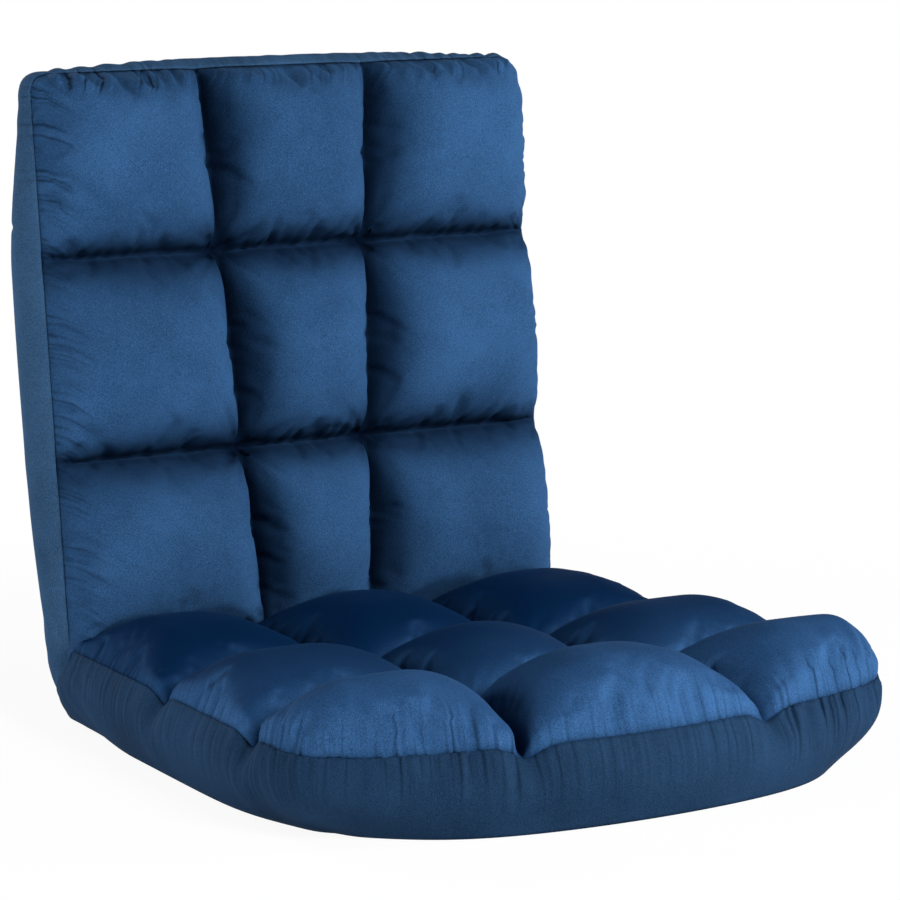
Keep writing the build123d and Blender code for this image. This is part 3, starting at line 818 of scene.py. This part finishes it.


# fine creases that run away from the seam wherever the cloth is gathered, each a bump with painted shade in
# its groove
def addPleats(tree, tones, bump, pleats, shader):
    seam = addNode(tree, "UVMap", uv_map="cloth")
    narrow = addNode(tree, "Mapping", {"Scale": pleats["perMetre"]})
    waver = addNode(tree, "TexNoise", {"Scale": 1, "Detail": 1.5}, noise_dimensions="2D")
    offset = addNode(tree, "Math", {1: 0.5}, operation="SUBTRACT")
    size = addNode(tree, "Math", operation="ABSOLUTE")
    fromTo = {"From Max": pleats["width"], "To Min": 1, "To Max": 0}
    crease = addNode(tree, "MapRange", fromTo, interpolation_type="SMOOTHSTEP")
    gathered = addNode(tree, "Attribute", attribute_name="gather")
    amount = addNode(tree, "Math", operation="MULTIPLY")
    shade = addNode(tree, "Math", {1: pleats["shade"]}, operation="MULTIPLY")
    # painted shade in the pleat creases
    paintedCreaseShade = addNode(tree, "Mix", {"B": pleats["dark"]}, data_type="RGBA")
    # painted shade, mixed into the colour last
    paintedShadeMask = addNode(tree, "Attribute", attribute_name="nap")
    withPaintedShade = addNode(tree, "Mix", {"B": pleats["nap"]}, data_type="RGBA")
    fold = addNode(tree, "Bump", {"Strength": 1, "Distance": pleats["depth"]}, invert=True)
    join(seam, "UV", narrow, "Vector")
    join(narrow, "Vector", waver, "Vector")
    join(waver, "Fac", offset, 0)
    join(offset, 0, size, 0)
    join(size, 0, crease, "Value")
    join(crease, "Result", amount, 0)
    join(gathered, "Fac", amount, 1)
    join(amount, 0, shade, 0)
    join(shade, 0, paintedCreaseShade, "Factor")
    join(tones, "Color", paintedCreaseShade, "A")
    join(paintedShadeMask, "Fac", withPaintedShade, "Factor")
    join(paintedCreaseShade, "Result", withPaintedShade, "A")
    join(withPaintedShade, "Result", shader, "Base Color")
    join(amount, 0, fold, "Height")
    join(fold, "Normal", bump, "Normal")


# a ramp between the two tones of a finish
def toneRamp(tree, look):
    tones = addNode(tree, "ValToRGB")
    for element, tone, place in zip(tones.color_ramp.elements, ("dark", "light"), look["contrast"]):
        element.position = place
        element.color = look[tone]
    return tones


shaderValues = {
    "Metallic": "metal", "Specular IOR Level": "specular", "Sheen Weight": "sheen",
    "Sheen Roughness": "sheenRough", "Sheen Tint": "sheenTint",
}


# colour between two tones and a fine bump, both from noise in the piece's own space
def noisyFinish(name, look):
    material, tree, shader = startMaterial(name)
    where = addNode(tree, "TexCoord")
    stretch = addNode(tree, "Mapping", {"Scale": look["stretch"]})
    broad = addNode(tree, "TexNoise", {"Scale": look["broad"], "Detail": 5, "Roughness": 0.6})
    fine = addNode(tree, "TexNoise", {"Scale": look["fine"], "Detail": 3})
    both = addNode(tree, "Mix", {"Factor": look["fineShare"]}, data_type="FLOAT")
    tones = toneRamp(tree, look)
    rough = addNode(tree, "MapRange", {"To Min": look["rough"][0], "To Max": look["rough"][1]})
    bump = addNode(tree, "Bump", {"Strength": look["bump"], "Distance": look["bumpDepth"]})
    join(where, "Object", stretch, "Vector")
    join(where, "Object", broad, "Vector")
    join(stretch, "Vector", fine, "Vector")
    join(broad, "Fac", both, "A")
    join(fine, "Fac", both, "B")
    join(both, "Result", tones, "Fac")
    join(tones, "Color", shader, "Base Color")
    join(broad, "Fac", rough, "Value")
    join(rough, "Result", shader, "Roughness")
    join(fine, "Fac", bump, "Height")
    join(bump, "Normal", shader, "Normal")
    if look["pleats"]:
        addPleats(tree, tones, bump, look["pleats"], shader)
    for label, value in shaderValues.items():
        shader.inputs[label].default_value = look[value]
    return material


# over and under of a plain weave, for the webbing and the tape of the zip
def wovenFinish(name, look):
    material, tree, shader = startMaterial(name)
    where = addNode(tree, "TexCoord")
    weave = addNode(tree, "Math", operation="MULTIPLY")
    for thread, axis in enumerate(look["axes"]):
        numbers = {"Scale": look["scale"], "Distortion": 0.6, "Detail": 1}
        wave = addNode(tree, "TexWave", numbers, bands_direction=axis)
        join(where, "Object", wave, "Vector")
        join(wave, "Fac", weave, thread)
    tones = toneRamp(tree, look)
    bump = addNode(tree, "Bump", {"Strength": 0.5, "Distance": 0.0004})
    join(weave, 0, tones, "Fac")
    join(tones, "Color", shader, "Base Color")
    join(weave, 0, bump, "Height")
    join(bump, "Normal", shader, "Normal")
    shader.inputs["Roughness"].default_value = look["rough"]
    shader.inputs["Specular IOR Level"].default_value = 0.2
    return material


plainLook = {
    "stretch": (1, 1, 1), "broad": 14, "fine": 900, "fineShare": 0.35, "rough": (0.7, 0.9), "bump": 0.25,
    "bumpDepth": 0.0006, "metal": 0, "specular": 0.15, "sheen": 0, "sheenRough": 0.3,
    "sheenTint": (1, 1, 1, 1), "pleats": None, "contrast": (0.36, 0.64),
}
# the deeper tone is painted shade, mixed in where the cloth lies level, towards the crease and down in the
# sewn lines; dark is painted shade in the pleat creases
seamPleats = {
    "perMetre": (62, 2, 1), "width": 0.20, "depth": 0.004, "shade": 0.1, "dark": (0.002, 0.012, 0.040, 1),
    "nap": (0.0004, 0.011, 0.042, 1),
}
velvetLook = plainLook | {
    "sheen": 0.015, "sheenRough": 0.3, "sheenTint": (0.20, 0.50, 1, 1), "stretch": (1, 1, 0.7),
    "specular": 0.02, "broad": 9, "fine": 1300, "fineShare": 0.62, "pleats": seamPleats,
    "contrast": (0.37, 0.63),
}
backVelvet = noisyFinish("backVelvet", velvetLook | {
    "dark": (0.0102, 0.0345, 0.0855, 1), "light": (0.029, 0.0893, 0.209, 1),
    "pleats": seamPleats | {"nap": (0.0003, 0.003, 0.012, 1)},
})
# the back's velvet made lighter for the seat: painted light
seatVelvet = noisyFinish("seatVelvet", velvetLook | {
    "dark": (0.013, 0.045, 0.114, 1), "light": (0.040, 0.120, 0.286, 1),
})
# the same velvet made darker for the seat band and the hinge strip: painted shade
bandVelvet = noisyFinish("bandVelvet", velvetLook | {
    "dark": (0.0062, 0.0188, 0.044, 1), "light": (0.0158, 0.046, 0.103, 1),
})
# the same velvet made greyer and lighter for the back band: painted sheen
backBandVelvet = noisyFinish("backBandVelvet", velvetLook | {
    "dark": (0.013, 0.035, 0.075, 1), "light": (0.036, 0.090, 0.182, 1),
})
thread = noisyFinish("seamThread", plainLook | {
    "dark": (0.004, 0.016, 0.046, 1), "light": (0.014, 0.042, 0.105, 1), "broad": 120, "fine": 1600,
})
baseCloth = noisyFinish("baseCloth", plainLook | {
    "dark": (0.012, 0.012, 0.014, 1), "light": (0.030, 0.030, 0.034, 1), "broad": 60, "fine": 1400,
    "bump": 0.4,
})
framePaint = noisyFinish("framePaint", plainLook | {
    "dark": (0.020, 0.020, 0.022, 1), "light": (0.036, 0.036, 0.040, 1), "fine": 700, "rough": (0.38, 0.55),
    "bump": 0.1, "bumpDepth": 0.0003, "specular": 0.5,
})
hingeSteel = noisyFinish("hingeSteel", plainLook | {
    "dark": (0.40, 0.40, 0.41, 1), "light": (0.58, 0.58, 0.59, 1), "stretch": (1, 12, 1), "fine": 260,
    "rough": (0.28, 0.45), "bump": 0.12, "bumpDepth": 0.0002, "metal": 1, "specular": 0.5,
})
zipMetal = noisyFinish("zipMetal", plainLook | {
    "dark": (0.30, 0.30, 0.32, 1), "light": (0.46, 0.46, 0.48, 1), "fine": 500, "rough": (0.25, 0.4),
    "bump": 0.08, "bumpDepth": 0.0002, "metal": 1, "specular": 0.5,
})
wovenLook = {"axes": ("X", "Z"), "contrast": (0, 1)}
webbingWeave = wovenFinish("webbingWeave", wovenLook | {
    "scale": 190, "dark": (0.012, 0.012, 0.013, 1), "light": (0.050, 0.050, 0.055, 1), "rough": 0.75,
})
tapeWeave = wovenFinish("tapeWeave", wovenLook | {
    "scale": 330, "dark": (0.004, 0.014, 0.045, 1), "light": (0.014, 0.045, 0.115, 1), "rough": 0.7,
})
finishes = {
    "webbing": webbingWeave, "_tube": framePaint, "zip_tape": tapeWeave, "zip_slider": zipMetal,
    "zip_pull": zipMetal,
}
for name, node in nodes.items():
    finish = next((made for part, made in finishes.items() if part in name), hingeSteel)
    node.data.materials.clear()
    node.data.materials.append(finish)
print("finishes made")

# the cover
seatTop, seatPoints = tuftedPanel("seatTop", seatPad, onSeat)
backFront, backPoints = tuftedPanel("backFront", backPad, onBack)
seatBand, seatBandPoints, seatArc = sideBand("seatBand", seatPad, seatPoints, onSeat)
backBand, backBandPoints, backArc = sideBand("backBand", backPad, backPoints, onBack)
zipOpening = {"at": 0.062, "width": 0.011, "half": 0.211, "teethHalf": 0.2, "teethLevel": -0.0302}
seatBase, seatBasePoints = footPanel("seatBase", seatPoints, seatBandPoints, seatArc, onSeat, 0)
backRear, backRearPoints = footPanel(
    "backRear", backPoints, backBandPoints, backArc, onBack, cover["rearCrown"], zipOpening
)
hingeStrip, stripPoints = hingeStripCloth(
    "hingeStrip", seatBandPoints[-1], backBandPoints[-1], seatArc, backArc
)
clothFinish = {
    seatTop: seatVelvet, backFront: backVelvet, seatBand: bandVelvet, backBand: backBandVelvet,
    seatBase: baseCloth, backRear: backVelvet, hingeStrip: bandVelvet,
}
for obj, finish in clothFinish.items():
    obj.data.materials.append(finish)
    finishCloth(obj, cover["cloth"])
    bendWithBack(obj)
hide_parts(*[n for n in nodes if n.startswith("seat_tuft_")], "crease_wadding", "seat_top_foam")
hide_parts(*[n for n in nodes if n.startswith("back_tuft_")], "back_front_foam")
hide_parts("seat_boxing", "seat_edge_foam")
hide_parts("back_boxing", "back_edge_foam")
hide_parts("seat_base_cloth", "seat_base_foam")
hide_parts("back_rear_cloth", "back_rear_foam")
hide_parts("hinge_strip_cloth")


stripPoints.transpose(1, 0, 2)
print("cover made")


# small rounded beads along a line, for stitches and the coil of the zip
def beadTree():
    tree = bpy.data.node_groups.new("beadRow", "GeometryNodeTree")
    socket = tree.interface.new_socket
    socket("Line", in_out="INPUT", socket_type="NodeSocketGeometry")
    inputs = {}
    for label, kind in (("Spacing", "Float"), ("Bead size", "Vector"), ("Finish", "Material")):
        inputs[label] = socket(label, in_out="INPUT", socket_type="NodeSocket" + kind).identifier
    socket("Beads", in_out="OUTPUT", socket_type="NodeSocketGeometry")
    add = tree.nodes.new
    given, result = add("NodeGroupInput"), add("NodeGroupOutput")
    curve, even = add("GeometryNodeMeshToCurve"), add("GeometryNodeResampleCurve")
    even.mode = "LENGTH"
    heading, turned = add("GeometryNodeInputTangent"), add("FunctionNodeAlignRotationToVector")
    turned.axis = "X"
    bead = add("GeometryNodeMeshUVSphere")
    for label, value in (("Segments", 6), ("Rings", 4), ("Radius", 0.5)):
        bead.inputs[label].default_value = value
    rounded = add("GeometryNodeSetShadeSmooth")
    placed, solid = add("GeometryNodeInstanceOnPoints"), add("GeometryNodeRealizeInstances")
    coloured = add("GeometryNodeSetMaterial")
    join(given, "Line", curve, "Mesh")
    join(curve, "Curve", even, "Curve")
    join(given, "Spacing", even, "Length")
    join(heading, "Tangent", turned, "Vector")
    join(bead, "Mesh", rounded, "Geometry")
    join(even, "Curve", placed, "Points")
    join(rounded, "Geometry", placed, "Instance")
    join(turned, "Rotation", placed, "Rotation")
    join(given, "Bead size", placed, "Scale")
    join(placed, "Instances", solid, "Geometry")
    join(solid, "Geometry", coloured, "Geometry")
    join(given, "Finish", coloured, "Material")
    join(coloured, "Geometry", result, "Beads")
    return tree, inputs


beads, beadInputs = beadTree()


def beadRow(name, path, look, place):
    mesh = bpy.data.meshes.new(name)
    mesh.from_pydata(path.tolist(), [(i, i + 1) for i in range(len(path) - 1)], [])
    obj = newObject(name, mesh)
    row = obj.modifiers.new("Row", "NODES")
    row.node_group = beads
    for label, value in look.items():
        row[beadInputs[label]] = value
    bpy.context.view_layer.update()
    applyModifiers(obj)
    points = np.empty(3 * len(obj.data.vertices))
    obj.data.vertices.foreach_get("co", points)
    obj.data.vertices.foreach_set("co", place(points.reshape(-1, 3)).ravel())
    obj.data.update()
    return obj


seamStitch = {"Spacing": 0.0050, "Bead size": (0.0032, 0.0007, 0.0007), "Finish": thread}
zipTooth = {"Spacing": 0.0017, "Bead size": (0.0012, 0.0052, 0.0016), "Finish": tapeWeave}


def stitchLine(points, step):
    return points[step] - surfaceNormals(points)[step] * cover["stitchSink"]


seams = ("seatStitches", seatBandPoints, onSeat), ("backStitches", backBandPoints, onBack)
for name, points, place in seams:
    stitches = beadRow(name, stitchLine(points, 1)[4:-4], seamStitch, place)
    bendWithBack(stitches)
zipLine = np.array([
    [side * zipOpening["teethHalf"], zipOpening["at"], zipOpening["teethLevel"]] for side in (-1, 1)
])
zipTeeth = beadRow("zipTeeth", zipLine, zipTooth, onBack)
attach(zipTeeth, "back_half")
print("stitches made")

# floor, light and camera
studio = {
    "floorHalf": 8,
    "floorColour": (0.92, 0.92, 0.92, 1),
    "floorRough": 0.9,
    "whiteNear": 0.92,
    "whiteFrom": 0.5,
    "whiteTo": 1.3,
    "worldStrength": 0.03,
    "lampAim": (0, 0, 0.25),
}
lamps = {
    "keyLamp": {"at": (0.5, -3.3, 2.15), "size": 1.2, "power": 156},
    "sideLamp": {"at": (3.2, -1.4, 1.0), "size": 1.0, "power": 90},
    "fillLamp": {"at": (-3.0, 0.0, 0.7), "size": 1.2, "power": 54},
    "rearLamp": {"at": (-0.6, 3.0, 1.6), "size": 1.4, "power": 50},
}


# one for what the camera sees, straight or by way of metal
def seenRays(tree):
    rays = addNode(tree, "LightPath")
    total = rays.outputs["Is Camera Ray"]
    for other in ("Is Glossy Ray", "Is Transmission Ray"):
        both = addNode(tree, "Math", operation="ADD", use_clamp=True)
        tree.links.new(total, both.inputs[0])
        join(rays, other, both, 1)
        total = both.outputs[0]
    return total


def mixWhite(tree, kind, shader, share, output):
    white = addNode(tree, kind, {"Color": (1, 1, 1, 1)})
    both = addNode(tree, "MixShader")
    tree.links.new(share, both.inputs["Fac"])
    join(shader, 0, both, 1)
    join(white, 0, both, 2)
    join(both, 0, tree.nodes[output], "Surface")


def paleFloor():
    mesh = bpy.data.meshes.new("floor")
    half = studio["floorHalf"]
    corners = [(-half, -half, 0), (half, -half, 0), (half, half, 0), (-half, half, 0)]
    mesh.from_pydata(corners, [], [(0, 1, 2, 3)])
    floor = newObject("floor", mesh)
    material, tree, shader = startMaterial("paleFloor")
    shader.inputs["Base Color"].default_value = studio["floorColour"]
    shader.inputs["Roughness"].default_value = studio["floorRough"]
    where = addNode(tree, "TexCoord")
    distance = addNode(tree, "VectorMath", operation="LENGTH")
    fromTo = {"From Min": studio["whiteFrom"], "From Max": studio["whiteTo"], "To Min": studio["whiteNear"]}
    away = addNode(tree, "MapRange", fromTo, interpolation_type="SMOOTHSTEP")
    seen = addNode(tree, "Math", operation="MULTIPLY")
    join(where, "Object", distance, 0)
    join(distance, "Value", away, "Value")
    join(away, "Result", seen, 0)
    tree.links.new(seenRays(tree), seen.inputs[1])
    mixWhite(tree, "Emission", shader, seen.outputs[0], "Material Output")
    mesh.materials.append(material)


def studioWorld():
    world = bpy.data.worlds.new("studio")
    bpy.context.scene.world = world
    world.use_nodes = True
    tree = world.node_tree
    light = tree.nodes["Background"]
    light.inputs["Color"].default_value = (1, 1, 1, 1)
    light.inputs["Strength"].default_value = studio["worldStrength"]
    mixWhite(tree, "Background", light, seenRays(tree), "World Output")


def studioLamps():
    for name, lamp in lamps.items():
        data = bpy.data.lights.new(name, "AREA")
        data.energy = lamp["power"]
        data.size = lamp["size"]
        obj = newObject(name, data)
        obj.location = lamp["at"]
        obj.rotation_mode = "QUATERNION"
        aim = Vector(studio["lampAim"]) - Vector(lamp["at"])
        obj.rotation_quaternion = aim.to_track_quat("-Z", "Y")


paleFloor()
studioWorld()
studioLamps()
cameraData = bpy.data.cameras.new("photoCamera")
cameraData.lens = camera["lens"]
cameraData.sensor_width = camera["sensor"]
cameraObject = newObject("photoCamera", cameraData)
azimuth, elevation = math.radians(camera["azimuth"]), math.radians(camera["elevation"])
toCamera = Vector((
    math.sin(azimuth) * math.cos(elevation),
    -math.cos(azimuth) * math.cos(elevation),
    math.sin(elevation),
))
cameraObject.location = camera["location"]
cameraObject.rotation_mode = "QUATERNION"
cameraObject.rotation_quaternion = (-toCamera).to_track_quat("-Z", "Y")
bpy.context.scene.camera = cameraObject
bpy.context.scene.view_settings.view_transform = "Standard"
